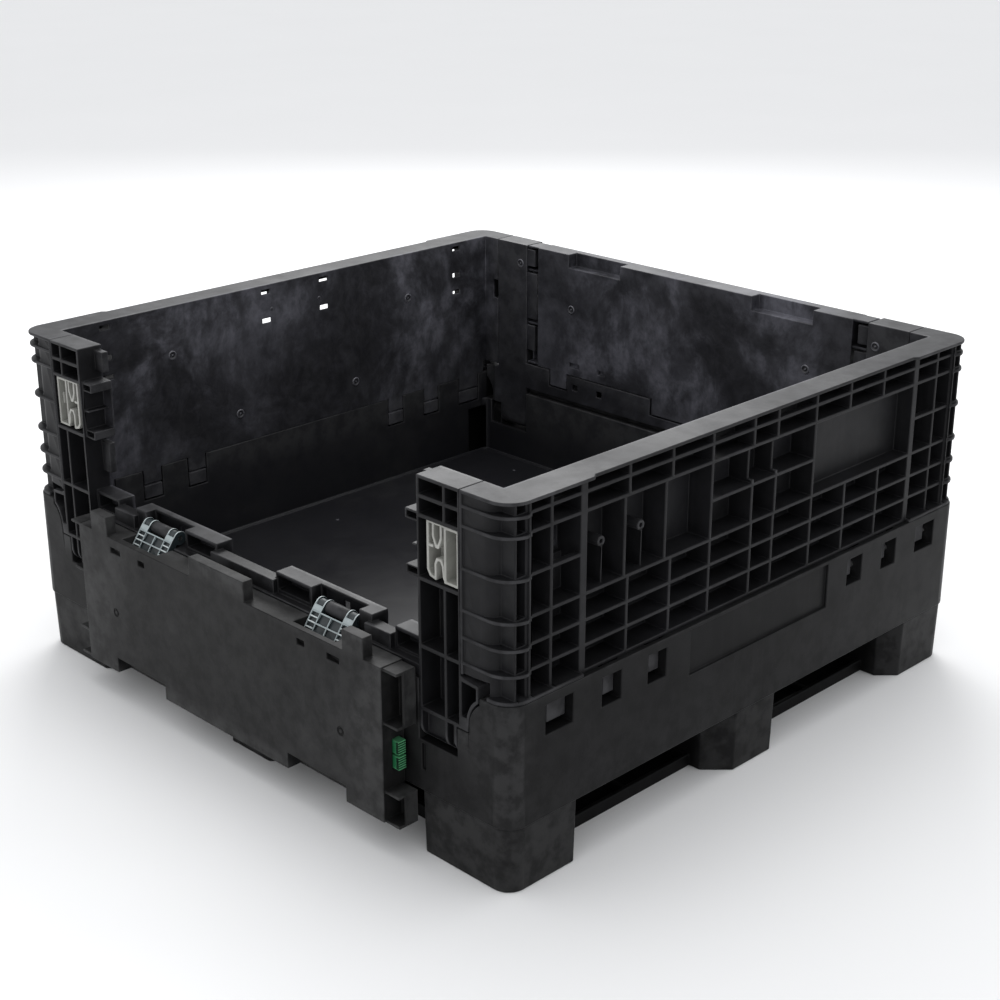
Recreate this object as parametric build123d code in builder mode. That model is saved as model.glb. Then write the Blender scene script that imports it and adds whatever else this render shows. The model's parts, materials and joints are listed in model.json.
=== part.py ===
from build123d import *
import math
import os

os.makedirs("parts", exist_ok=True)

# ---------------------------------------------------------------- driving dimensions (mm)
W = 1219.0          # length along X, 48 in
D = 1143.0          # depth along Y, 45 in
H = 606.0           # overall height
HX, HY = W / 2, D / 2
Z_FEET = 107.0      # top of the feet moulding, underside of the tub
Z_TUB = 303.0       # top of the tub, foot of the side walls
Z_FLOOR = 128.0     # inside floor
IN_X = 550.0        # inner face of the tub and the side walls
IN_Y = 520.0        # inner face of the tub front and back
R_CORNER = 33.0     # vertical corner radius
RIB_X = 600.0       # side wall rib faces
Y_OUT = 571.5       # outer face of the end frames
Y_IN = 523.0        # inner face of the end frames
POST_IN = 426.0     # post side face
POST_OUT = 511.5    # post face at the corner seam
SEAM_X = 512.5      # side wall return at the corner seam
FOLD_Y, FOLD_Z = 547.25, 218.0      # end frame fold axis
KNUCKLE_R = 24.25
FOLD_PIN_R = 6.0
RUN = 0.08          # radial running clearance
LINK_A = (-553.0, 325.0)            # sill pivot of the door links (y, z)
LINK_B = (-583.0, 285.8)            # door pivot of the door links, door hanging open
LINK_TURN = -137.92                 # link swing from hanging to closed, degrees
LINK_PIN_R = 4.0
DOOR_X = 393.0      # half width of the drop door
DOOR_FACE = 617.0   # smooth face of the hanging door
DOOR_TIP = 345.0    # tab tips of the hanging door
DOOR_LEN = 291.0    # tab tips to hand-hold edge
DOOR_T = 44.0       # door thickness
SHELF = 34.0        # tab length
HINGE_X = 230.0     # centre of each door link
FOOT_IN = 398.0     # inner side of the corner feet
FOOT_MID = 90.0     # half width of the middle feet

FRONT = Plane(origin=(0, -Y_OUT, 0), x_dir=(1, 0, 0), z_dir=(0, -1, 0))


def solid(x0, x1, y0, y1, z0, z1):
    """Axis-aligned block on its own, in any corner order."""
    x0, x1 = sorted((x0, x1))
    y0, y1 = sorted((y0, y1))
    z0, z1 = sorted((z0, z1))
    return Pos((x0 + x1) / 2, (y0 + y1) / 2, (z0 + z1) / 2) * Solid.make_box(
        x1 - x0, y1 - y0, z1 - z0, Plane((-(x1 - x0) / 2, -(y1 - y0) / 2, -(z1 - z0) / 2))
    )


def blocks(boxes, mode=Mode.ADD):
    """Axis-aligned blocks joined to, or cut from, the part being built."""
    add([solid(*b) for b in boxes], mode=mode)


def block(x0, x1, y0, y1, z0, z1, mode=Mode.ADD):
    """One axis-aligned block in the part being built."""
    blocks([(x0, x1, y0, y1, z0, z1)], mode)


def cells(plane, rects, depth, mode=Mode.SUBTRACT):
    """Rectangular cells (u0, u1, v0, v1) sunk into a face by depth."""
    faces = [
        plane * Pos((u0 + u1) / 2, (v0 + v1) / 2) * Face.make_rect(u1 - u0, v1 - v0)
        for u0, u1, v0, v1 in rects
    ]
    extrude(faces, amount=-depth, dir=plane.z_dir, mode=mode)


def rod_x(x0, x1, y, z, r, mode=Mode.ADD):
    """Round bar along X."""
    with BuildSketch(Plane(origin=(x0, y, z), x_dir=(0, 1, 0), z_dir=(1, 0, 0))) as section:
        Circle(r)
    extrude(section.sketch, amount=x1 - x0, mode=mode)


def rod_y(y0, y1, x, z, r, mode=Mode.ADD):
    """Round bar along Y."""
    with BuildSketch(Plane(origin=(x, y0, z), x_dir=(-1, 0, 0), z_dir=(0, 1, 0))) as section:
        Circle(r)
    extrude(section.sketch, amount=y1 - y0, mode=mode)


def prism_x(x0, x1, pts, mode=Mode.ADD):
    """Polygon of (y, z) points extruded along X."""
    with BuildSketch(Plane(origin=(x0, 0, 0), x_dir=(0, 1, 0), z_dir=(1, 0, 0))) as section:
        Polygon(*pts, align=None)
    extrude(section.sketch, amount=x1 - x0, mode=mode)


def grid(us, vs, half):
    """Cells between rib centre lines us and vs, ribs 2 * half thick."""
    return [
        (us[i] + half, us[i + 1] - half, vs[j] + half, vs[j + 1] - half)
        for i in range(len(us) - 1)
        for j in range(len(vs) - 1)
    ]


def both(rects):
    """Cells and their mirror images about u = 0."""
    return rects + [(-b, -a, c, d) for a, b, c, d in rects]


WINDOWS = [(235.0, 277.0), (337.0, 379.0), (441.0, 498.0)]
SCREWS = [
    (sx * x, sy * y)
    for sx in (-1, 1)
    for sy in (-1, 1)
    for x, y in ((505.0, 440.0), (440.0, 505.0))
] + [(0, -500.0), (0, 500.0), (-520.0, 0), (520.0, 0), (0, 45.0), (0, -45.0)]

# ---------------------------------------------------------------- tub
# Floor and low walls in one moulding, cored out from below.
QUAD = [(s, t) for s in (-1, 1) for t in (-1, 1)]
with BuildPart() as base_tub:
    with BuildSketch(Plane.XY.offset(Z_FEET)):
        RectangleRounded(W, D, R_CORNER)
    extrude(amount=Z_TUB - Z_FEET)
    with BuildSketch(Plane.XY.offset(Z_FLOOR)):
        RectangleRounded(2 * IN_X, 2 * IN_Y, 14)
    extrude(amount=Z_TUB - Z_FLOOR + 1, mode=Mode.SUBTRACT)
    # raised bead round the floor edge
    with BuildSketch(Plane.XY.offset(Z_FLOOR - 1)):
        RectangleRounded(2 * IN_X - 10, 2 * IN_Y - 10, 12)
        RectangleRounded(2 * IN_X - 20, 2 * IN_Y - 20, 10, mode=Mode.SUBTRACT)
    extrude(amount=4)
    # coring of the floor and the walls from below
    cut = [
        (x - 86, x + 86, y - 80, y + 80, Z_FEET - 1, 122)
        for x in (-450, -270, -90, 90, 270, 450)
        for y in (-420, -252, -84, 84, 252, 420)
    ]
    for s, t in QUAD:
        for a, b, c, d in ((6, 110, 598, 293), (118, 222, 598, 293), (230, 334, 601, 226), (342, 446, 601, 226)):
            cut.append((s * 559, s * c, t * a, t * b, Z_FEET - 1, d))
        for a, b in ((6, 100), (108, 202), (210, 304), (312, 406)):
            cut.append((t * a, t * b, s * 529, s * 563, Z_FEET - 1, 270))
        cut.append((t * 430, t * 530, s * 529, s * 563, Z_FEET - 1, 182))
        cut.append((s * 545, s * 590, t * 470, t * 550, Z_FEET - 1, 226))
        # pocket under the frame leg
        cut.append((s * 429, s * 437, t * 566.5, t * 575, 143, 186))
        # notch for the frame leg
        cut.append((s * 424, s * 504.5, t * 515, t * 575, 192.3, 304))
        cut.append((s * 504, s * 529, t * 515, t * 575, 239.3, 304))
        cut.append((s * 504, s * 529, t * 515, t * 526.3, 192.3, 304))
        cut.append((s * 504, s * 529, t * 515, t * FOLD_Y, FOLD_Z, 304))
        cut.append((s * 528, s * 549.8, t * 505, t * 558, 244, 304))
        for a, b in WINDOWS:
            # hinge window, open to the outside, the slot above it and the inner notch
            cut.append((s * 571, s * 601, t * a, t * b, 240, 304))
            cut.append((s * 600, s * 612, t * a, t * b, 240, 287))
            cut.append((s * 549, s * 560.5, t * (a - 1), t * (b + 1), 243, 304))
    for t in (-1, 1):
        # low sill seat, stepped so that the frame sill swings over it
        cut.append((-POST_IN + 2, POST_IN - 2, t * 515, t * 575, 290, 304))
        cut.append((-POST_IN + 2, POST_IN - 2, t * 515, t * 533, 280, 304))
        # recessed label panel
        cut.append((t * 604.5, t * 611, -178, 178, 220, 297))
    blocks(cut, Mode.SUBTRACT)
    # screw bosses under the floor
    with BuildSketch(Plane.XY.offset(Z_FEET)):
        with Locations(*SCREWS):
            Circle(15)
    extrude(amount=16)
    with BuildSketch(Plane.XY.offset(Z_FEET - 1)):
        with Locations(*SCREWS):
            Circle(4.02)
    extrude(amount=15, mode=Mode.SUBTRACT)
    for s, t in QUAD:
        # bearing nose under the leg step
        x0 = min(s * 504.5, s * 529)
        rod_x(x0, x0 + 24.5, t * FOLD_Y, FOLD_Z, 21)
    for s, t in QUAD:
        # curved shoulder notch in the outer skin
        with BuildSketch(Plane(origin=(0, t * 575, 0), x_dir=(1, 0, 0), z_dir=(0, -1, 0))):
            with BuildLine():
                Polyline((s * 528, 304), (s * 528, 238), (s * 529.5, 257))
                ThreePointArc((s * 529.5, 257), (s * 536, 277), (s * 550, 292))
                Polyline((s * 550, 292), (s * 550, 304), (s * 528, 304))
            make_face()
        extrude(amount=20 if t > 0 else -20, mode=Mode.SUBTRACT)
    for s, t in QUAD:
        # fold pin holes
        x0 = min(s * 404, s * 530)
        rod_x(x0, x0 + 126, t * FOLD_Y, FOLD_Z, FOLD_PIN_R + 0.02, Mode.SUBTRACT)
    for s in (-1, 1):
        rod_y(-512, 512, s * 585, 262, 6.02, Mode.SUBTRACT)
base_tub.part.label = "base_tub"

# ---------------------------------------------------------------- feet moulding
# Nine hollow feet tied by low runners; fork openings on all four sides.
DOWN = Plane(origin=(0, 0, Z_FEET), x_dir=(1, 0, 0), z_dir=(0, 0, -1))
with BuildPart() as base_feet:
    with BuildSketch(DOWN):
        for s in (-1, 1):
            for t in (-1, 1):
                a = 607.5
                b = 569.5
                with BuildLine():
                    FilletPolyline(
                        (s * a, t * 430), (s * a, t * b), (s * 430, t * b),
                        radius=R_CORNER,
                    )
                    Polyline(
                        (s * 430, t * b), (s * FOOT_IN, t * (b - 32)), (s * FOOT_IN, t * FOOT_IN),
                        (s * (a - 32), t * FOOT_IN), (s * a, t * 430),
                    )
                make_face()
            Polygon(
                (s * 607.5, -50), (s * 607.5, 50), (s * 567.5, 90), (s * 455, 90), (s * 455, -90), (s * 567.5, -90),
                align=None,
            )
            Polygon(
                (-50, s * 569.5), (50, s * 569.5), (90, s * 529.5), (90, s * 420), (-90, s * 420), (-90, s * 529.5),
                align=None,
            )
        Rectangle(180, 180)
    extrude(amount=Z_FEET, taper=1.3)
    # runners
    with BuildSketch(Plane.XY):
        Rectangle(1090, 1014)
        with Locations((250, 231), (-250, 231), (250, -231), (-250, -231)):
            Rectangle(410, 372, mode=Mode.SUBTRACT)
    extrude(amount=22)
    # hollow feet
    cut = []
    for s, t in QUAD:
        for xa, xb, ya, yb in ((407, 500, 407, 500), (507, 597, 440, 500), (440, 500, 507, 559), (507, 575, 507, 540)):
            cut.append((s * xa, s * xb, t * ya, t * yb, 9, 108))
        cut.append((s * 463, s * 562, t * 4, t * 80, 9, 108))
        cut.append((s * 562, s * 598, t * 4, t * 42, 9, 108))
        cut.append((s * 4, s * 80, t * 428, t * 524, 9, 108))
        cut.append((s * 4, s * 42, t * 524, t * 560, 9, 108))
        cut.append((s * 4, s * 80, t * 4, t * 80, 9, 108))
        # troughs in the runners
        for a, b in ((94, 238), (245, 392)):
            cut.append((s * 463, s * 537, t * a, t * b, 8, 24))
            cut.append((s * 4, s * 38, t * a, t * (b + 14 if b > 300 else b), 8, 24))
        for a, b in ((94, 238), (245, 392)):
            cut.append((s * a, s * b, t * 425, t * 499, 8, 24))
            cut.append((s * a, s * (b + 50 if b > 300 else b), t * 4, t * 38, 8, 24))
    blocks(cut, Mode.SUBTRACT)
    # screw pillars
    with BuildSketch(Plane.XY.offset(4)):
        with Locations(*SCREWS):
            Circle(16)
    extrude(amount=Z_FEET - 4)
    with BuildSketch(Plane.XY.offset(-1)):
        with Locations(*SCREWS):
            Circle(10.5)
    extrude(amount=94, mode=Mode.SUBTRACT)
    with BuildSketch(Plane.XY.offset(90)):
        with Locations(*SCREWS):
            Circle(4.3)
    extrude(amount=20, mode=Mode.SUBTRACT)
base_feet.part.label = "base_feet"

with BuildPart() as feet_screws:
    with BuildSketch(Plane.XY.offset(87)):
        with Locations(*SCREWS):
            Circle(9)
    extrude(amount=6)
    with BuildSketch(Plane.XY.offset(93)):
        with Locations(*SCREWS):
            Circle(4)
    extrude(amount=26)
    with BuildSketch(Plane.XY.offset(87)):
        with Locations(*SCREWS):
            RegularPolygon(4.2, 6)
    extrude(amount=3.5, mode=Mode.SUBTRACT)
feet_screws.part.label = "feet_screws"

# ---------------------------------------------------------------- side walls
ROWS = [306.0, 347.0, 386.5, 428.0, 491.0, 554.0, 583.0, 603.5]
FINS = [347.0, 386.5, 428.0, 491.0, 554.0, 583.0]


with BuildPart() as right_wall:
    # plan of the wall with its two corner returns
    with BuildSketch(Plane.XY.offset(Z_TUB)):
        with BuildLine():
            Polyline((IN_X, -Y_IN), (SEAM_X, -Y_IN), (SEAM_X, -568.5), (536, -568), (552, -566))
            ThreePointArc((552, -566), (567.5, -560.5), (574, -551.5))
            Polyline((574, -551.5), (RIB_X, -551.5), (RIB_X, 551.5), (574, 551.5))
            ThreePointArc((574, 551.5), (567.5, 560.5), (552, 566))
            Polyline((552, 566), (536, 568), (SEAM_X, 568.5), (SEAM_X, Y_IN), (IN_X, Y_IN), (IN_X, -Y_IN))
        make_face()
    extrude(amount=H - Z_TUB)
    # rim plate, full size at the corners
    with BuildSketch(Plane.XY.offset(H - 5)):
        with BuildLine():
            Polyline((SEAM_X, -Y_IN), (SEAM_X, -Y_OUT), (570, -Y_OUT))
            ThreePointArc((570, -Y_OUT), (598.0, -560.0), (HX, -532))
            Polyline((HX, -532), (HX, -404), (603, -396), (603, 396), (HX, 404), (HX, 532))
            ThreePointArc((HX, 532), (598.0, 560.0), (570, Y_OUT))
            Polyline((570, Y_OUT), (SEAM_X, Y_OUT), (SEAM_X, Y_IN), (IN_X, Y_IN), (IN_X, -Y_IN), (SEAM_X, -Y_IN))
        make_face()
    extrude(amount=5)
    # crescent fins round each corner
    for z in FINS:
        with BuildSketch(Plane.XY.offset(z - 2.5)):
            for t in (-1, 1):
                with BuildLine():
                    Polyline((SEAM_X, t * 560), (SEAM_X, t * Y_OUT), (570, t * Y_OUT))
                    ThreePointArc((570, t * Y_OUT), (597.5, t * 559.5), (HX, t * 534))
                    Polyline((HX, t * 534), (604, t * 524), (572, t * 524), (SEAM_X, t * 560))
                make_face()
        extrude(amount=5)
    # bottom band at the corners
    with BuildSketch(Plane.XY.offset(Z_TUB)):
        for t in (-1, 1):
            with BuildLine():
                Polyline((563, t * 545), (563, t * 570.5), (572, t * 570.5))
                ThreePointArc((572, t * 570.5), (598.0, t * 560), (608.5, t * 534))
                Polyline((608.5, t * 534), (608.5, t * 418), (590, t * 418), (563, t * 545))
            make_face()
    extrude(amount=6)
    add_on = []
    for t in (-1, 1):
        # seam bead down each return and the bead where the fins end
        add_on.append((SEAM_X, SEAM_X + 5, t * 560, t * Y_OUT, 329, H))
        add_on.append((RIB_X - 10, 604, t * 523, t * 528, Z_TUB, H))
        # inner tabs and outer knuckles that drop into the tub
        for a, b in WINDOWS:
            add_on.append((IN_X, 559, t * (a + 1), t * (b - 1), 246, Z_TUB + 4))
            add_on.append((576, 597, t * (a + 4), t * (b - 14), 250, Z_TUB + 4))
    blocks(add_on)
    # shallow and deep cells in the outer face
    top = grid([-410, -318, -223, -130, -30, 30, 130, 223, 318, 410], ROWS[5:], 2.75)
    top = [(a, b, c, min(d, 600.5)) for a, b, c, d in top]
    low = grid([-410, -319, -223, -130, -28, 28, 130, 223, 319, 410], ROWS[:4], 2.75)
    mid = grid([-410, -327, -237, -130], [428, 554], 2.75)
    mid += grid([-130, -30, 30, 130], [428, 491, 554], 2.75)
    corner = grid([418, 479, 524], ROWS[:7], 2.75) + grid([528.25, 550.25], ROWS[:7], 2.75)
    corner += [(a, b, 585.75, 600.5) for a, b in ((420.75, 476.25), (481.75, 521.25), (531, 547.5))]
    cut = [(562, 612, a, b, c, d) for a, b, c, d in top]
    cut += [(557, 612, a, b, c, d) for a, b, c, d in low + mid]
    cut.append((570, 612, 133, 407.5, 431, 551))
    cut += [(562, 612, a, b, c, d) for a, b, c, d in both(corner)]
    for t in (-1, 1):
        # step in the foot of each return, over the leg shoulder
        cut.append((SEAM_X - 1, 563, t * 515, t * 575, Z_TUB - 1, 329))
        # shadow line across the inner tabs
        for a, b in WINDOWS:
            cut.append((IN_X - 1, 552.5, t * (a - 1), t * (b + 1), 272, 275))
        # small through slots near the rim
        for y, z in ((72, 592), (72, 535), (436, 593), (436, 536), (436, 499)):
            cut.append((540, 615, t * y - 10.5, t * y + 10.5, z - 4.5, z + 4.5))
        # thinner skin and lowered ribs behind the slots
        for a, b in ((32.75, 127.25), (420.75, 476.25)):
            cut.append((554, 566, t * a, t * b, 493.75, 551.25))
            cut.append((554, 566, t * a, t * b, 585.75, 600.5))
            cut.append((556, 588, t * a, t * b, 579, 587))
        cut.append((556, 588, t * 420.75, t * 476.25, 487, 495))
        cut.append((590, 612, t * 26, t * 34, 500, 551))
        # keeper slot for the post latch
        cut.append((SEAM_X - 1, 525, t * (Y_IN - 1), t * 562, 476, 516))
    blocks(cut, Mode.SUBTRACT)
    # screw bosses in the two tall cells
    for y in (-282, -368):
        with BuildSketch(Plane(origin=(556, y, 494), x_dir=(0, 1, 0), z_dir=(1, 0, 0))):
            Circle(8)
            Circle(3.2, mode=Mode.SUBTRACT)
        extrude(amount=35)
        block(556, 592, y - 1.5, y + 1.5, 430, 487)
    rod_y(-512, 512, 585, 262, 6.02, Mode.SUBTRACT)
right_wall.part.label = "right_wall"

with BuildPart() as left_wall:
    add(mirror(right_wall.part, about=Plane.YZ, mode=Mode.PRIVATE))
left_wall.part.label = "left_wall"

with BuildPart() as right_wall_hinge_rod:
    rod_y(-511, 511, 585, 262, 6.0)
right_wall_hinge_rod.part.label = "right_wall_hinge_rod"
with BuildPart() as left_wall_hinge_rod:
    rod_y(-511, 511, -585, 262, 6.0)
left_wall_hinge_rod.part.label = "left_wall_hinge_rod"

# ---------------------------------------------------------------- end frames
# Two ribbed posts joined by a sill; the legs pivot in the tub.
with BuildPart() as front_frame:
    with BuildSketch(FRONT):
        for s in (-1, 1):
            with BuildLine():
                Polyline(
                    (s * POST_IN, FOLD_Z), (s * 503, FOLD_Z), (s * 503, 241), (s * 527, 241), (s * 528, 258),
                )
                ThreePointArc((s * 528, 258), (s * 534.5, 279), (s * 547.5, 294))
                Polyline(
                    (s * 547.5, 294), (s * 547.5, 320), (s * 521, 322), (s * POST_OUT, 326), (s * POST_OUT, H),
                    (s * POST_IN, H), (s * POST_IN, FOLD_Z),
                )
            make_face()
    extrude(amount=-(Y_OUT - Y_IN))
    for s in (-1, 1):
        x0, x1 = sorted((s * POST_IN, s * 503))
        rod_x(x0, x1, -FOLD_Y, FOLD_Z, KNUCKLE_R)
    # post cells
    post = [
        (431, 479, 578, 601), (484, 508.5, 578, 601), (431, 479, 549, 572), (484, 508.5, 549, 572),
        (431, 479, 347, 447), (484, 508.5, 347, 447), (431, 479, 247, 341), (484, 508.5, 247, 341),
    ]
    cells(FRONT, both(post), 38)
    cells(FRONT, both([(429.5, 508.5, 453, 543)]), 34)
    cells(FRONT, both([(431, 479, 201, 241), (484, 498, 201, 241)]), 13)
    for s in (-1, 1):
        with BuildSketch(FRONT):
            with BuildLine():
                Polyline((s * 514, 262), (s * 514, 317), (s * 543, 315), (s * 543, 297))
                ThreePointArc((s * 543, 297), (s * 531, 283), (s * 524, 262))
                Line((s * 524, 262), (s * 514, 262))
            make_face()
        extrude(amount=-34, mode=Mode.SUBTRACT)
        # serrations beside the latch and the mouth for its tongue
        for i in range(5):
            x0, x1 = sorted((s * 508, s * 510))
            block(x0, x1, -568, -541, 456.5 + 17.5 * i, 456.5 + 17.5 * i + 13, Mode.SUBTRACT)
        x0, x1 = sorted((s * 500, s * 513))
        block(x0, x1, -563, -540, 488.5, 513.5, Mode.SUBTRACT)

        # strike box with its open cells
        def sb(xa, xb, y0, y1, z0, z1, mode=Mode.ADD):
            a, b = sorted((s * xa, s * xb))
            block(a, b, y0, y1, z0, z1, mode)

        sb(398, POST_IN, -568, -526, 448, 548)
        sb(401.5, 423, -570, -532, 451.5, 460.5, Mode.SUBTRACT)
        sb(401.5, 423, -570, -532, 535.5, 544.5, Mode.SUBTRACT)
        sb(396, 423, -570, -528.5, 462.5, 532.5, Mode.SUBTRACT)
        sb(411.5, 424, -567.5, -526, 494.9, 498.1)
        # lugs on the jamb
        sb(404, POST_IN, -538, -525, 379, 434)
        sb(404, POST_IN, -538, -525, 562.5, 598)
    # sill
    block(-POST_IN, POST_IN, -570, -Y_IN, 292, 312)
    for s in (-1, 1):
        for a, b in ((77, 165), (277, 306.5), (358, POST_IN)):
            x0, x1 = sorted((s * a, s * b))
            block(x0, x1, -556, -Y_IN, 311, 347)
        x0, x1 = sorted((s * 164, s * 278))
        block(x0, x1, -536, -Y_IN, 311, 347)
        x0, x1 = sorted((s * 300, s * 358))
        block(x0, x1, -566, -543.5, 311, 336)
        # knuckle between the link arms
        x0, x1 = sorted((s * 206, s * 254))
        rod_x(x0, x1, LINK_A[0], LINK_A[1], 11)
        block(x0, x1, -560, -544, 311, 324)
        rod_x(x0 - 1, x1 + 1, LINK_A[0], LINK_A[1], LINK_PIN_R + RUN, Mode.SUBTRACT)
        # cells in the sill bars
        x0, x1 = sorted((s * 83, s * 159))
        block(x0, x1, -557, -529, 318, 341, Mode.SUBTRACT)
        x0, x1 = sorted((s * 362, s * 421))
        block(x0, x1, -557, -529, 316, 341, Mode.SUBTRACT)
        x0, x1 = sorted((s * 168, s * 274))
        block(x0, x1, -537, -527.5, 316, 342, Mode.SUBTRACT)
        # slots in the sill's inner face
        for a, b in ((276, 290), (208, 222)):
            xa, xb = sorted((s * a, s * b))
            block(xa, xb, -530, -522, 317, 330, Mode.SUBTRACT)
        # fold pin clearance
        x0, x1 = sorted((s * 420, s * 530))
        rod_x(x0, x1, -FOLD_Y, FOLD_Z, FOLD_PIN_R + RUN, Mode.SUBTRACT)
    block(-82, 82, -566, -543.5, 311, 336)
    # room for the links to hang
    blocks([(s * 181, s * 279, -571, -557, 291, 313) for s in (-1, 1)], Mode.SUBTRACT)
    # underside coring of the sill
    cells(Plane(origin=(0, 0, 292), x_dir=(1, 0, 0), z_dir=(0, 0, -1)),
          [(a, b, 529, 551) for a, b in ((-396, -270), (-262, -136), (-128, -4), (4, 128), (136, 262), (270, 396))], 14)
front_frame.part.label = "front_frame"

with BuildPart() as back_frame:
    add(front_frame.part.mirror(Plane.XZ))
back_frame.part.label = "back_frame"

with BuildPart() as front_frame_pins:
    for s in (-1, 1):
        x0, x1 = sorted((s * 405, s * 528))
        rod_x(x0, x1, -FOLD_Y, FOLD_Z, FOLD_PIN_R)
front_frame_pins.part.label = "front_frame_pins"
with BuildPart() as back_frame_pins:
    add(front_frame_pins.part.mirror(Plane.XZ))
back_frame_pins.part.label = "back_frame_pins"

# ---------------------------------------------------------------- post latches
# Moulded channel with its own W-shaped spring fingers and a side tongue.
with BuildPart() as post_latch_front_right:
    with BuildSketch(Plane(origin=(0, -567.5, 0), x_dir=(1, 0, 0), z_dir=(0, -1, 0))):
        # channel walls, end bar and the short stop
        for u0, u1, v0, v1 in (
            (477, 481.5, 455, 541), (502.5, 507, 455, 541), (477, 507, 455, 459), (477, 507, 537, 541),
            (442, 481, 538.5, 541.5), (446, 455, 503, 507),
        ):
            with Locations(((u0 + u1) / 2, (v0 + v1) / 2)):
                Rectangle(u1 - u0, v1 - v0)
        # outer strip, lower hump and upper double finger
        Polygon((442, 541), (442, 467), (448, 457.5), (459, 455), (461.5, 459), (451.5, 461), (446.5, 468), (446.5, 541), align=None)
        Polygon(
            (457.5, 455), (461.5, 455), (461.5, 479), (464.5, 485), (469.5, 485), (472.5, 479), (474.5, 462), (478, 457),
            (479.5, 461), (479, 463), (476.5, 480), (472, 489), (461.5, 489), (457.5, 480), align=None,
        )
        Polygon(
            (453, 541), (457, 541), (457, 521), (462, 509.5), (464.5, 509.5), (469, 521), (469, 541), (473, 541),
            (473, 520), (466, 503.5), (460, 503.5), (453, 520), align=None,
        )
    extrude(amount=-24)
    block(442, 507, -543.5, -539.5, 455, 541.5)
    block(477, 507, -546.5, -543, 455, 541)
    block(500, 520, -560, -543, 491, 511)
post_latch_front_right.part.label = "post_latch_front_right"


def mirrored(src, name, about):
    with BuildPart() as out:
        add(src.mirror(about))
    out.part.label = name
    return out


post_latch_front_left = mirrored(post_latch_front_right.part, "post_latch_front_left", Plane.YZ)
post_latch_back_right = mirrored(post_latch_front_right.part, "post_latch_back_right", Plane.XZ)
post_latch_back_left = mirrored(post_latch_front_left.part, "post_latch_back_left", Plane.XZ)

# ---------------------------------------------------------------- drop door, drawn hanging open
YF = -DOOR_FACE


def door_block(x0, x1, s0, s1, t0, t1, mode=Mode.ADD):
    """Block in door terms: s is depth from the smooth face, t is distance from the tab tips."""
    block(x0, x1, YF + s0, YF + s1, DOOR_TIP - t1, DOOR_TIP - t0, mode)


with BuildPart() as front_door:
    door_block(-DOOR_X, DOOR_X, 0, DOOR_T, SHELF, DOOR_LEN)
    # ribbed side, cored
    xs = [-389, -299, -171, -72, 0, 72, 171, 299, 389]
    hs = [-389, -313, -158, -72, 0, 72, 158, 313, 389]
    for i in range(len(xs) - 1):
        a, b = xs[i] + 3, xs[i + 1] - 3
        ah, bh = hs[i] + 3, hs[i + 1] - 3
        hinge = 171 <= min(abs(xs[i]), abs(xs[i + 1])) < 299
        hold = hinge
        zz = [SHELF + 4, 86, 150, 214, DOOR_LEN - 4]
        for j in range(len(zz) - 1):
            t0, t1 = zz[j] + (0 if j == 0 else 3), zz[j + 1] - (0 if j == 3 else 3)
            if j == 0 and hinge:
                continue
            if j in (1, 2) and i in (0, len(xs) - 2):
                a2, b2 = (a + 34, b) if i == 0 else (a, b - 34)
            elif j == 3:
                a2, b2 = ah, bh
            else:
                a2, b2 = a, b
            s0 = 29.5 if (hold and j == 3) else 9
            door_block(a2, b2, s0, DOOR_T + 1, t0, t1, Mode.SUBTRACT)
    # castellated edge
    for a, b in ((-72, 72), (308, 355), (-355, -308)):
        door_block(a, b, 0, 19.5, 0, SHELF + 1)
    # hand-holds sunk in the smooth face at the free edge
    for s in (-1, 1):
        a, b = sorted((s * 165, s * 306))
        door_block(a, b, -1, 25, 263, DOOR_LEN + 1, Mode.SUBTRACT)
        # pocket for the link and its pin
        a, b = sorted((s * 180, s * 280))
        door_block(a, b, 12, DOOR_T + 1, SHELF - 1, 76, Mode.SUBTRACT)
        a, b = sorted((s * 172, s * 288))
        rod_x(a, b, LINK_B[0], LINK_B[1], LINK_PIN_R + RUN, Mode.SUBTRACT)
        # slots beside the link pocket
        for p, q, t0, t1 in ((272, 300, 51, 61), (201, 219, 51, 61)):
            a, b = sorted((s * p, s * q))
            door_block(a, b, -1, 8, t0, t1, Mode.SUBTRACT)
        # latch pocket in the side edge
        a, b = sorted((s * 354, s * 394))
        door_block(a, b, 20, 38.5, 157, 208.5, Mode.SUBTRACT)

        # hollow brackets that wrap the jamb lugs
        def db(xa, xb, s0, s1, t0, t1, mode=Mode.ADD):
            p, q = sorted((s * xa, s * xb))
            door_block(p, q, s0, s1, t0, t1, mode)

        for t0, t1 in ((35, 127), (237, DOOR_LEN)):
            db(392, 424, 3, 41, t0, t0 + 4.5)
            db(392, 424, 3, 41, t1 - 4.5, t1)
            db(392, 424, 35.5, 41, t0, t1)
            db(419, 424, 17, 41, t0, t1)
    # moulded gate marks on the smooth face
    for x, t in ((-298, 173), (298, 173)):
        with BuildSketch(Plane(origin=(x, YF, DOOR_TIP - t), x_dir=(1, 0, 0), z_dir=(0, -1, 0))):
            Circle(7)
            Circle(4.5, mode=Mode.SUBTRACT)
        extrude(amount=-1.2, mode=Mode.SUBTRACT)
front_door.part.label = "front_door"

# closed pose of the back door: turn about the mid axis, then mirror to the back
MID = Axis((0, -(DOOR_FACE + Y_IN) / 2, 330.0), (1, 0, 0))
with BuildPart() as back_door:
    add(front_door.part.rotate(MID, 180).mirror(Plane.XZ))
back_door.part.label = "back_door"

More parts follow.
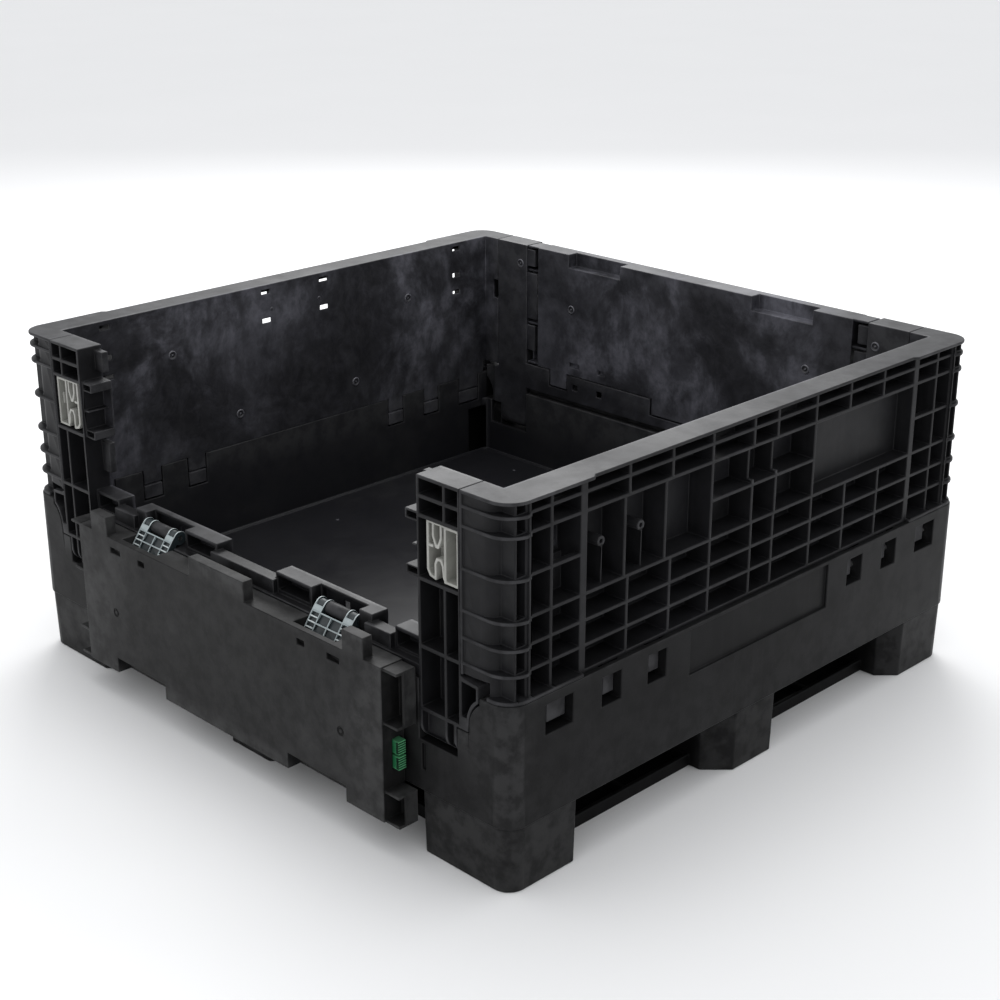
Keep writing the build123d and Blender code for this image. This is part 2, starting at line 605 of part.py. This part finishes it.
# ---------------------------------------------------------------- door latch bolts
with BuildPart() as door_bolt_front_right:
    for t0, t1 in ((159.5, 181), (185, 206.5)):
        door_block(374, 404, 22, 36.5, t0, t1)
        for i in range(5):
            tt = t0 + 2.0 + i * 3.9
            door_block(397, 405, 21, 37, tt, tt + 1.9, Mode.SUBTRACT)
        door_block(393, 398.5, 22, 36.5, t0, t1)
    door_block(368, 378, 22, 36.5, 159.5, 206.5)
door_bolt_front_right.part.label = "door_bolt_front_right"
door_bolt_front_left = mirrored(door_bolt_front_right.part, "door_bolt_front_left", Plane.YZ)
with BuildPart() as door_bolt_back_right:
    add(door_bolt_front_right.part.rotate(MID, 180).mirror(Plane.XZ))
door_bolt_back_right.part.label = "door_bolt_back_right"
door_bolt_back_left = mirrored(door_bolt_back_right.part, "door_bolt_back_left", Plane.YZ)

# ---------------------------------------------------------------- double-hinge links
AY, AZ = LINK_A
BY, BZ = LINK_B
LEN = math.hypot(BY - AY, BZ - AZ)
DY, DZ = (BY - AY) / LEN, (BZ - AZ) / LEN
NY, NZ = DZ, -DY           # outward normal of the link
if NZ < 0:
    NY, NZ = -NY, -NZ


def lp(a, n):
    """Point a along the link from the sill pivot and n outward, as (y, z)."""
    return (AY + DY * a + NY * n, AZ + DZ * a + NZ * n)


def link(xc, name):
    with BuildPart() as out:
        for s in (-1, 1):
            x0, x1 = sorted((xc + s * 25, xc + s * 46))
            rod_x(x0, x1, AY, AZ, 12)
            prism_x(x0, x1, [lp(0, 0), lp(0, 12), lp(8, 12.5), lp(LEN + 3, 11), lp(LEN + 3, 0)])
        # open cells in the arms and round the hubs
        for s in (-1, 1):
            xa, xb = sorted((xc + s * 27.2, xc + s * 43.8))
            rod_x(xa, xb, AY, AZ, 13.2, Mode.SUBTRACT)
            rod_x(xa, xb, AY, AZ, 9.8)
            prism_x(xa, xb, [lp(13, 7), lp(13, 15), lp(LEN + 1, 15), lp(LEN + 1, 7)], Mode.SUBTRACT)
            prism_x(xa, xb, [lp(0, 0), lp(0, 7), lp(14, 7), lp(14, 0)])
            for a0 in (3.5, 13, 21.5, 30, 39):
                prism_x(xa, xb, [lp(a0, 5), lp(a0, 12.2), lp(a0 + 2.2, 12.2), lp(a0 + 2.2, 5)])
        # lattice plate between the arms
        prism_x(xc - 46, xc + 46, [lp(13, 8), lp(13, 12.3), lp(15.4, 12.2), lp(15.4, 8)])
        prism_x(xc - 46, xc + 46, [lp(30, 8), lp(30, 12), lp(32.3, 11.9), lp(32.3, 8)])
        prism_x(xc - 46, xc + 46, [lp(LEN - 2, 0), lp(LEN - 2, 11.1), lp(LEN + 3, 11), lp(LEN + 3, 0)])
        prism_x(xc - 46, xc + 46, [lp(13, 4.5), lp(13, 8.2), lp(LEN, 8.2), lp(LEN, 4.5)])
        prism_x(xc - 1.3, xc + 1.3, [lp(13, 8), lp(13, 12.2), lp(LEN, 11.2), lp(LEN, 8)])
        rod_x(xc - 46, xc + 46, BY, BZ, 8.5)
        rod_x(xc - 47, xc + 47, AY, AZ, LINK_PIN_R + 0.02, Mode.SUBTRACT)
        rod_x(xc - 47, xc + 47, BY, BZ, LINK_PIN_R + 0.02, Mode.SUBTRACT)
    out.part.label = name
    return out


front_link_left = link(-HINGE_X, "front_link_left")
front_link_right = link(HINGE_X, "front_link_right")
A_AXIS = Axis((0, AY, AZ), (1, 0, 0))


def closed(src, name):
    """The same piece on the back door, which stands closed."""
    with BuildPart() as out:
        add(src.rotate(A_AXIS, LINK_TURN).mirror(Plane.XZ))
    out.part.label = name
    return out


back_link_left = closed(front_link_left.part, "back_link_left")
back_link_right = closed(front_link_right.part, "back_link_right")

with BuildPart() as front_sill_pins:
    for s in (-1, 1):
        rod_x(s * HINGE_X - 46, s * HINGE_X + 46, AY, AZ, LINK_PIN_R)
front_sill_pins.part.label = "front_sill_pins"
with BuildPart() as front_door_pins:
    for s in (-1, 1):
        rod_x(s * HINGE_X - 57, s * HINGE_X + 57, BY, BZ, LINK_PIN_R)
front_door_pins.part.label = "front_door_pins"
back_sill_pins = closed(front_sill_pins.part, "back_sill_pins")
back_door_pins = closed(front_door_pins.part, "back_door_pins")

# ---------------------------------------------------------------- export
for piece in (
    base_tub, base_feet, feet_screws, right_wall, left_wall, right_wall_hinge_rod, left_wall_hinge_rod,
    front_frame, back_frame, front_frame_pins, back_frame_pins,
    post_latch_front_right, post_latch_front_left, post_latch_back_right, post_latch_back_left,
    front_door, back_door, door_bolt_front_right, door_bolt_front_left, door_bolt_back_right, door_bolt_back_left,
    front_link_left, front_link_right, back_link_left, back_link_right,
    front_sill_pins, front_door_pins, back_sill_pins, back_door_pins,
):
    export_step(piece.part, "parts/%s.step" % piece.part.label)
    print(piece.part.label, round(piece.part.volume / 1e3, 1), "cm3")
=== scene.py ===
import json
import math

import bmesh
import bpy
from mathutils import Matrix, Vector

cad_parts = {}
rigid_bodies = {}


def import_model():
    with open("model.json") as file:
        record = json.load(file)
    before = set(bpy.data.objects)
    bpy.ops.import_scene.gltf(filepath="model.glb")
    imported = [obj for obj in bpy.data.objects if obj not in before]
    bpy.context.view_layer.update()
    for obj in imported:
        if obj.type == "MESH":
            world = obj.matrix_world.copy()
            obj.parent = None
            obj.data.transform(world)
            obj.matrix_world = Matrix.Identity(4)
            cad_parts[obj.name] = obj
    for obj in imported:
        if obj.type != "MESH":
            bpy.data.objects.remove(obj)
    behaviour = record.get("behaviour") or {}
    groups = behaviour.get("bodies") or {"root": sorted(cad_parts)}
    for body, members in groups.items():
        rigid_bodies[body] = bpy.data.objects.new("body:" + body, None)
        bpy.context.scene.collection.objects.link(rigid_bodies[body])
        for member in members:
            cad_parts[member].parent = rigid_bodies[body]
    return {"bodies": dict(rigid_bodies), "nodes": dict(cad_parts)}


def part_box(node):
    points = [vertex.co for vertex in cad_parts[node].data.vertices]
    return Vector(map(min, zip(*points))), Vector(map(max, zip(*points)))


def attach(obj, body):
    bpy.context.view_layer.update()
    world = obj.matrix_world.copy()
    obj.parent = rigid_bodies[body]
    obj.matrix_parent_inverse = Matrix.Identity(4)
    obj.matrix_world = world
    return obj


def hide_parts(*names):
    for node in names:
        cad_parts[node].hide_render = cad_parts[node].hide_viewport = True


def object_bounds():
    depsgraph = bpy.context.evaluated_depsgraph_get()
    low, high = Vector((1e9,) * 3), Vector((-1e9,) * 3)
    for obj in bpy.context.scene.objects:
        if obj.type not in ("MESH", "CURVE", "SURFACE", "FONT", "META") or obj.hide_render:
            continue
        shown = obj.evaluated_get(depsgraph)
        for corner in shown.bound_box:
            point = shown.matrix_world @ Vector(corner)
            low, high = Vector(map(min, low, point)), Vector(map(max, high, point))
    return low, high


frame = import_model()
cad_lo, cad_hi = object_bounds()
nodes = frame["nodes"]
body_of = {n: b for b, o in frame["bodies"].items() for n in nodes if nodes[n].parent is o}

# ------------------------------------------------------------------ camera
AZ, EL = 0.786775, 0.371007
fwd = Vector((-math.sin(AZ) * math.cos(EL), math.cos(AZ) * math.cos(EL), -math.sin(EL)))
cam = bpy.data.objects.new("camera", bpy.data.cameras.new("camera"))
bpy.context.scene.collection.objects.link(cam)
cam.location = Vector((1.0502, -1.0289, 0.8646)) - fwd * 1.64781
cam.rotation_mode = "QUATERNION"
cam.rotation_quaternion = fwd.to_track_quat("-Z", "Y")
cam.data.sensor_width = 36.0
cam.data.lens = 63.988
cam.data.clip_start = 0.05
cam.data.clip_end = 60.0
bpy.context.scene.camera = cam


# ------------------------------------------------------------------ material helpers
class Nodes:
    """Short names for building a node tree."""

    def __init__(self, name):
        self.mat = bpy.data.materials.new(name)
        self.mat.use_nodes = True
        self.t = self.mat.node_tree
        self.t.nodes.clear()
        self.out = self.t.nodes.new("ShaderNodeOutputMaterial")
        self.bsdf = self.t.nodes.new("ShaderNodeBsdfPrincipled")
        self.link(self.bsdf.outputs[0], self.out.inputs[0])
        self.coord = self.t.nodes.new("ShaderNodeTexCoord").outputs["Object"]

    def link(self, a, b):
        self.t.links.new(a, b)

    def put(self, socket, value):
        if isinstance(value, bpy.types.NodeSocket):
            self.link(value, socket)
        else:
            socket.default_value = value

    def math(self, op, a, b=0.0, clamp=False):
        n = self.t.nodes.new("ShaderNodeMath")
        n.operation = op
        n.use_clamp = clamp
        self.put(n.inputs[0], a)
        self.put(n.inputs[1], b)
        return n.outputs[0]

    def noise(self, scale, detail=2.0, rough=0.5, distortion=0.0, vector=None, lacunarity=2.0):
        n = self.t.nodes.new("ShaderNodeTexNoise")
        self.link(vector or self.coord, n.inputs["Vector"])
        n.inputs["Scale"].default_value = scale
        n.inputs["Detail"].default_value = detail
        n.inputs["Roughness"].default_value = rough
        n.inputs["Lacunarity"].default_value = lacunarity
        n.inputs["Distortion"].default_value = distortion
        return n.outputs["Fac"]

    def stretch(self, x, y, z, vector=None):
        n = self.t.nodes.new("ShaderNodeMapping")
        self.link(vector or self.coord, n.inputs["Vector"])
        n.inputs["Scale"].default_value = (x, y, z)
        return n.outputs[0]

    def span(self, value, a, b, to_a=0.0, to_b=1.0, smooth=True):
        n = self.t.nodes.new("ShaderNodeMapRange")
        n.interpolation_type = "SMOOTHSTEP" if smooth else "LINEAR"
        self.put(n.inputs["Value"], value)
        n.inputs["From Min"].default_value = a
        n.inputs["From Max"].default_value = b
        n.inputs["To Min"].default_value = to_a
        n.inputs["To Max"].default_value = to_b
        return n.outputs[0]

    def mix(self, fac, a, b):
        n = self.t.nodes.new("ShaderNodeMix")
        n.data_type = "RGBA"
        self.put(n.inputs[0], fac)
        for socket, v in ((n.inputs[6], a), (n.inputs[7], b)):
            self.put(socket, v if isinstance(v, bpy.types.NodeSocket) else (*v, 1.0))
        return n.outputs[2]

    def xyz(self):
        n = self.t.nodes.new("ShaderNodeSeparateXYZ")
        self.link(self.coord, n.inputs[0])
        return n.outputs

    def bump(self, layers):
        """layers: (height socket, distance in metres), the first is the finest."""
        normal = None
        for height, distance in layers:
            n = self.t.nodes.new("ShaderNodeBump")
            n.inputs["Strength"].default_value = 1.0
            n.inputs["Distance"].default_value = distance
            self.link(height, n.inputs["Height"])
            if normal is not None:
                self.link(normal, n.inputs["Normal"])
            normal = n.outputs[0]
        self.link(normal, self.bsdf.inputs["Normal"])

    def edge(self, a, b):
        """1 on outside edges, from the shape of the mesh itself."""
        n = self.t.nodes.new("ShaderNodeNewGeometry")
        return self.span(n.outputs["Pointiness"], a, b)


def foam(name, dark, light, marks, everywhere=0.2, inner=None, rough=0.42, scale=2.6, spec=0.4, seed=0.0, within=None, spec_in=None):
    """Black structural foam. marks is how strongly the pale flow marks show inside the box, everywhere outside it."""
    m = Nodes(name)
    shift = m.t.nodes.new("ShaderNodeMapping")
    m.link(m.coord, shift.inputs["Vector"])
    shift.inputs["Location"].default_value = (seed, seed * 0.7, -seed * 0.4)
    p = shift.outputs[0]
    # cloudy patches torn into fine wisps, as foamed plastic leaves them on a mould wall
    drift = m.t.nodes.new("ShaderNodeTexNoise")
    m.link(p, drift.inputs["Vector"])
    drift.inputs["Scale"].default_value = scale * 1.6
    drift.inputs["Detail"].default_value = 4.0
    warp = m.t.nodes.new("ShaderNodeVectorMath")
    warp.operation = "MULTIPLY_ADD"
    m.link(drift.outputs["Color"], warp.inputs[0])
    warp.inputs[1].default_value = (0.13, 0.13, 0.13)
    m.link(p, warp.inputs[2])
    q = warp.outputs[0]
    plumes = m.noise(scale * 1.7, 12.0, 0.64, 0.30, q)
    wisps = m.noise(scale * 6.0, 10.0, 0.66, 0.25, m.stretch(1.2, 1.2, 0.85, p))
    broad = m.noise(scale * 0.8, 3.0, 0.5, 0.3, p)
    cloud = m.math("MULTIPLY", m.span(plumes, 0.44, 0.66), m.span(wisps, 0.38, 0.62, 0.30, 1.0))
    cloud = m.math("MULTIPLY", cloud, m.span(broad, 0.34, 0.60, 0.35, 1.25), clamp=True)
    haze = m.span(m.noise(scale * 12.0, 8.0, 0.75, 0.4, q), 0.40, 0.70, 0.0, 0.16)
    cloud = m.math("ADD", cloud, haze, clamp=True)
    strength = marks
    if inner is not None:
        x, y, z = m.xyz()
        fx = m.span(m.math("ABSOLUTE", x), inner[0], inner[0] + 0.004, 1.0, 0.0, False)
        fy = m.span(m.math("ABSOLUTE", y), inner[1], inner[1] + 0.004, 1.0, 0.0, False)
        inside = m.math("MULTIPLY", fx, fy)
        strength = m.span(inside, 0.0, 1.0, everywhere, marks, False)
    cloud = m.math("MULTIPLY", cloud, strength, clamp=True)
    grain = m.noise(420.0, 2.0, 0.6)
    speck = m.noise(60.0, 4.0, 0.6, 0.3)
    # Inside the box the ground colour switches to within; the tub's lighter within is painted light, standing in for
    # bounce light inside the tub.
    ground = dark if within is None else m.mix(inside, dark, within)
    colour = m.mix(cloud, ground, light)
    colour = m.mix(m.span(speck, 0.35, 0.75, 0.0, 0.35), colour, tuple(min(1.0, c * 1.9) for c in dark))
    # fine vertical drag lines from drawing the moulding out of its mould
    # fine lighter vertical streaks in the colour, stretched tall by the mapping
    vertical_streaks = m.span(m.noise(30.0, 5.0, 0.7, 0.0, m.stretch(2.6, 2.6, 0.10)), 0.52, 0.72, 0.0, 0.30)
    colour = m.mix(vertical_streaks, colour, tuple(min(1.0, c * 2.6) for c in dark))
    # Outside edges mixed toward a lighter colour, broken up by noise: a painted highlight where the rounded edges
    # catch the light.
    painted_edge_highlight = m.math("MULTIPLY", m.edge(0.505, 0.55), m.span(m.noise(34.0, 4.0, 0.6), 0.36, 0.62, 0.35, 1.0))
    colour = m.mix(m.math("MULTIPLY", painted_edge_highlight, 0.55), colour, tuple(min(1.0, c * 5.0 + 0.022) for c in dark))
    m.link(colour, m.bsdf.inputs["Base Color"])
    shine = m.span(m.noise(7.0, 5.0, 0.6, 0.8, p), 0.3, 0.7, rough - 0.06, rough + 0.07, False)
    shine = m.math("ADD", shine, m.math("MULTIPLY", cloud, 0.06))
    m.link(shine, m.bsdf.inputs["Roughness"])
    if spec_in is None:
        m.bsdf.inputs["Specular IOR Level"].default_value = spec
    else:
        m.link(m.span(inside, 0.0, 1.0, spec, spec_in, False), m.bsdf.inputs["Specular IOR Level"])
    m.bump([(grain, 0.00012), (m.noise(9.0, 3.0, 0.5, 0.3), 0.0012)])
    return m.mat


def plastic(name, base, pale, rough=0.38, edge=0.6, fleck=120.0):
    m = Nodes(name)
    tone = m.noise(fleck, 3.0, 0.6)
    smear = m.noise(24.0, 4.0, 0.6, 1.2)
    colour = m.mix(m.span(smear, 0.35, 0.7, 0.0, 0.55), base, tuple(c * 0.72 for c in base))
    # Outside edges mixed toward the pale colour: a painted highlight where the edges catch the light.
    colour = m.mix(m.math("MULTIPLY", m.edge(0.50, 0.58), edge), colour, pale)
    colour = m.mix(m.span(tone, 0.55, 0.8, 0.0, 0.25), colour, pale)
    m.link(colour, m.bsdf.inputs["Base Color"])
    m.link(m.span(smear, 0.3, 0.7, rough - 0.06, rough + 0.1, False), m.bsdf.inputs["Roughness"])
    m.bsdf.inputs["Specular IOR Level"].default_value = 0.5
    m.bump([(m.noise(900.0, 2.0, 0.6), 0.00006)])
    return m.mat


def steel(name):
    m = Nodes(name)
    spangle = m.noise(210.0, 3.0, 0.6, 0.6)
    m.link(m.mix(spangle, (0.34, 0.34, 0.35), (0.62, 0.62, 0.63)), m.bsdf.inputs["Base Color"])
    m.link(m.span(spangle, 0.3, 0.7, 0.28, 0.46, False), m.bsdf.inputs["Roughness"])
    m.bsdf.inputs["Metallic"].default_value = 1.0
    m.bump([(m.noise(1500.0, 2.0, 0.6), 0.00004)])
    return m.mat


BLACK = (0.0052, 0.0053, 0.0060)
MATS = {
    # The tub's within colour, about twice as light as its outside, is painted light standing in for bounce light
    # inside the tub.
    "tub": foam("foam_tub", (0.0056, 0.0056, 0.0058), (0.019, 0.019, 0.0205), 0.8, 0.30, (0.552, 0.522),
                rough=0.40, scale=3.0, spec=0.07, seed=2.0, within=(0.0105, 0.0105, 0.0128), spec_in=0.22),
    "feet": foam("foam_feet", (0.0044, 0.0044, 0.0045), (0.011, 0.011, 0.0115), 0.5, rough=0.40, scale=3.4, spec=0.06, seed=5.0),
    "wall": foam("foam_wall", (0.0090, 0.0090, 0.0098), (0.125, 0.125, 0.146), 1.0, 0.05, (0.552, 0.524),
                 rough=0.47, scale=2.6, spec=0.13, seed=1.0, within=(0.0088, 0.0088, 0.0108), spec_in=0.20),
    "frame": foam("foam_frame", (0.0080, 0.0080, 0.0087), (0.075, 0.075, 0.088), 0.9, 0.06, (0.520, 0.526),
                  rough=0.43, scale=3.0, spec=0.14, seed=3.0, within=(0.0088, 0.0088, 0.0108), spec_in=0.26),
    "front_door": foam("foam_front_door", (0.0085, 0.0085, 0.0086), (0.038, 0.038, 0.0384), 0.9, rough=0.50, scale=3.6, spec=0.10, seed=4.0),
    "back_door": foam("foam_back_door", (0.0090, 0.0090, 0.0108), (0.110, 0.110, 0.129), 1.0, rough=0.47, scale=2.6, spec=0.20, seed=7.0),
    "mark": plastic("foam_gate_mark", (0.020, 0.020, 0.023), (0.11, 0.11, 0.125), 0.34, 0.9, 500.0),
    "latch": plastic("latch_plastic", (0.30, 0.30, 0.275), (0.50, 0.50, 0.47), 0.42, 0.5),
    "link": plastic("link_plastic", (0.016, 0.024, 0.027), (0.09, 0.11, 0.12), 0.36, 0.20, 300.0),
    # A near-white copy of the link plastic for a link's raised lattice: a painted highlight.
    "link_rib_highlight": plastic("link_rib_plastic", (0.30, 0.35, 0.36), (0.70, 0.75, 0.75), 0.38, 0.6, 300.0),
    "bolt": plastic("bolt_plastic", (0.008, 0.13, 0.045), (0.14, 0.44, 0.22), 0.34, 0.6, 400.0),
    # A much darker copy of the bolt green for the slots between a bolt's teeth: painted shade.
    "bolt_slot_shade": plastic("bolt_slot_plastic", (0.002, 0.030, 0.012), (0.01, 0.09, 0.04), 0.45, 0.2, 400.0),
    "steel": steel("zinc_plated_steel"),
}


# ------------------------------------------------------------------ moulded pieces
def softened(node, material, width, segments=2, angle=28.0, pale=None):
    """The CAD shape with its moulded edges rounded, as its own piece that stands for the node."""
    bm = bmesh.new()
    bm.from_mesh(nodes[node].data)
    bmesh.ops.remove_doubles(bm, verts=bm.verts, dist=2e-6)
    for f in bm.faces:
        f.material_index = 0
        longest = max(e.calc_length() for e in f.edges)
        bends = any(
            e.is_manifold and math.radians(0.7) < e.calc_face_angle(0.0) < math.radians(angle) for e in f.edges
        )
        f.smooth = bends and f.calc_area() / longest < 0.012
    sharp = [e for e in bm.edges if e.is_manifold and e.calc_face_angle(0.0) > math.radians(angle)]
    made = bmesh.ops.bevel(
        bm, geom=sharp, offset=width, offset_type="OFFSET", segments=segments, profile=0.5,
        affect="EDGES", clamp_overlap=False, miter_outer="SHARP",
    )
    for f in made["faces"]:
        f.smooth = True
    if pale is not None:
        for f in bm.faces:
            f.material_index = 1 if pale[1](f) else 0
    mesh = bpy.data.meshes.new(node + "_moulded")
    bm.to_mesh(mesh)
    bm.free()
    mesh.materials.append(material)
    if pale is not None:
        mesh.materials.append(pale[0])
    piece = bpy.data.objects.new(node + "_moulded", mesh)
    bpy.context.scene.collection.objects.link(piece)
    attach(piece, body_of[node])
    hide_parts(node)
    return piece


def raised(side):
    """Tells the raised lattice of a door link from its floor, from the two pivots' places."""
    a = Vector((0, -0.553, 0.325))
    b = Vector((0, -0.583, 0.2858))
    if side == "back":
        turn = math.radians(-137.92)
        d = b - a
        b = a + Vector((0, d.y * math.cos(turn) - d.z * math.sin(turn), d.y * math.sin(turn) + d.z * math.cos(turn)))
        a.y, b.y = -a.y, -b.y
    along = (b - a).normalized()
    out = Vector((0, along.z, -along.y))
    if side == "front" and out.z < 0 or side == "back" and out.y > 0:
        out = -out

    def test(f):
        c = f.calc_center_median()
        v = Vector((0, c.y, c.z)) - a
        n = v.dot(out)
        return n > 0.0103 or (v.length > 0.0112 and v.dot(along) < 0.001)

    return test


def outside_comb(f):
    """False in the slots between a bolt's teeth, which lie 5.5 mm deep in its outer end."""
    return not 0.3984 < abs(f.calc_center_median().x) < 0.4030


softened("base_tub", MATS["tub"], 0.0016)
softened("base_feet", MATS["feet"], 0.0018)
for side in ("right", "left"):
    softened(side + "_wall", MATS["wall"], 0.0014)
for side in ("front", "back"):
    softened(side + "_frame", MATS["frame"], 0.0013)
    softened(side + "_door", MATS[side + "_door"], 0.0013)
    for hand in ("left", "right"):
        # The raised lattice of each link gets the near-white copy of the link plastic, a painted highlight.
        softened("%s_link_%s" % (side, hand), MATS["link"], 0.0003, pale=(MATS["link_rib_highlight"], raised(side)))
        softened("post_latch_%s_%s" % (side, hand), MATS["latch"], 0.0007)
        # The slots between a bolt's teeth get the darker copy, painted shade; the rest of the bolt gets the bolt
        # green.
        softened("door_bolt_%s_%s" % (side, hand), MATS["bolt_slot_shade"], 0.0003, pale=(MATS["bolt"], outside_comb))
for n, o in nodes.items():
    if not o.hide_render:
        o.data.materials.clear()
        o.data.materials.append(MATS["steel"])

# ------------------------------------------------------------------ gate marks
RING = ((0.0, 0.9), (1.5, 0.9), (2.1, 0.2), (5.4, 0.2), (6.4, 1.5), (7.8, 1.5), (9.0, 0.1), (9.0, -0.4), (0.0, -0.4))
DOT = ((0.0, 0.9), (1.8, 0.8), (3.0, 0.4), (3.6, 0.05), (3.6, -0.4), (0.0, -0.4))


def gate_mark(name, where, facing, profile, body, material):
    """A low turned mark left where the plastic entered the mould, a closed solid set 0.4 mm into the face."""
    bm = bmesh.new()
    turns = 28
    rings = []
    for r, h in profile:
        if r == 0.0:
            rings.append([bm.verts.new((0, 0, h / 1000))] * turns)
        else:
            rings.append([
                bm.verts.new((r / 1000 * math.cos(2 * math.pi * k / turns), r / 1000 * math.sin(2 * math.pi * k / turns), h / 1000))
                for k in range(turns)
            ])
    for a, b in zip(rings, rings[1:]):
        for k in range(turns):
            j = (k + 1) % turns
            corners = []
            for v in (a[k], b[k], b[j], a[j]):
                if v not in corners:
                    corners.append(v)
            bm.faces.new(corners).smooth = True
    bmesh.ops.recalc_face_normals(bm, faces=bm.faces)
    turn = Vector(facing).to_track_quat("Z", "Y").to_matrix().to_4x4()
    bmesh.ops.transform(bm, matrix=turn, verts=bm.verts)
    bmesh.ops.translate(bm, verts=bm.verts, vec=where)
    mesh = bpy.data.meshes.new(name)
    bm.to_mesh(mesh)
    bm.free()
    mesh.materials.append(material)
    piece = bpy.data.objects.new(name, mesh)
    bpy.context.scene.collection.objects.link(piece)
    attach(piece, body)


for hand, s in (("right", 1), ("left", -1)):
    for end, t in (("front", -1), ("back", 1)):
        tag = hand + "_" + end
        inward = (-s, 0, 0)
        gate_mark("gate_mark_wall_high_" + tag, (s * 0.550, t * 0.2958, 0.5118), inward, RING, body_of[hand + "_wall"], MATS["mark"])
        gate_mark("gate_mark_wall_low_" + tag, (s * 0.550, t * 0.1477, 0.3626), inward, RING, body_of[hand + "_wall"], MATS["mark"])
        gate_mark("gate_dot_wall_" + tag, (s * 0.550, t * 0.0593, 0.5563), inward, DOT, body_of[hand + "_wall"], MATS["mark"])
        gate_mark("gate_mark_frame_high_" + tag, (s * 0.4440, t * 0.523, 0.5650), (0, -t, 0), RING, body_of[end + "_frame"], MATS["mark"])
    gate_mark("gate_mark_door_back_" + hand, (s * 0.2966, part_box("back_door")[0][1], 0.4912), (0, -1, 0), RING, body_of["back_door"], MATS["mark"])
for k, (x, y) in enumerate(((-0.445, 0.0), (0.445, 0.0), (-0.396, 0.456), (0.396, 0.456), (-0.396, -0.456), (0.396, -0.456))):
    gate_mark("gate_dot_floor_%d" % (k + 1), (x, y, 0.128), (0, 0, 1), DOT, body_of["base_tub"], MATS["mark"])

# ------------------------------------------------------------------ floor, light
floor_mesh = bpy.data.meshes.new("floor")
bm = bmesh.new()
bmesh.ops.create_grid(bm, x_segments=4, y_segments=4, size=24.0)
bmesh.ops.translate(bm, verts=bm.verts, vec=(0, 0, cad_lo[2] - 0.0005))
bm.to_mesh(floor_mesh)
bm.free()
floor = bpy.data.objects.new("studio_floor", floor_mesh)
bpy.context.scene.collection.objects.link(floor)
fm = Nodes("studio_floor")
fm.link(fm.mix(fm.noise(1.5, 2.0), (0.86, 0.86, 0.86), (0.88, 0.88, 0.88)), fm.bsdf.inputs["Base Color"])
fm.bsdf.inputs["Roughness"].default_value = 0.8
fm.bsdf.inputs["Specular IOR Level"].default_value = 0.1
floor_mesh.materials.append(fm.mat)


def area(name, where, look, size, power, shade=(1, 1, 1)):
    light = bpy.data.lights.new(name, "AREA")
    light.shape = "RECTANGLE"
    light.size, light.size_y = size
    light.energy = power
    light.color = shade
    o = bpy.data.objects.new(name, light)
    bpy.context.scene.collection.objects.link(o)
    o.location = where
    o.rotation_mode = "QUATERNION"
    o.rotation_quaternion = (Vector(look) - Vector(where)).to_track_quat("-Z", "Y")
    o.visible_camera = False
    return o


area("overhead", (-0.4, 0.4, 3.4), (0, 0, 0.3), (3.0, 3.0), 45)
area("behind", (-2.6, 2.6, 2.6), (0, 0, 0.4), (2.6, 1.6), 85)
area("left_front", (-1.8, -4.2, 2.0), (0, -0.4, 0.3), (2.4, 2.0), 5)
area("right_side", (4.2, 0.6, 1.8), (0.5, 0, 0.3), (2.2, 1.8), 3)

world = bpy.data.worlds.new("studio")
bpy.context.scene.world = world
world.use_nodes = True
world.node_tree.nodes["Background"].inputs[0].default_value = (0.97, 0.98, 1.0, 1.0)
world.node_tree.nodes["Background"].inputs[1].default_value = 0.95
bpy.context.scene.view_settings.view_transform = "Standard"
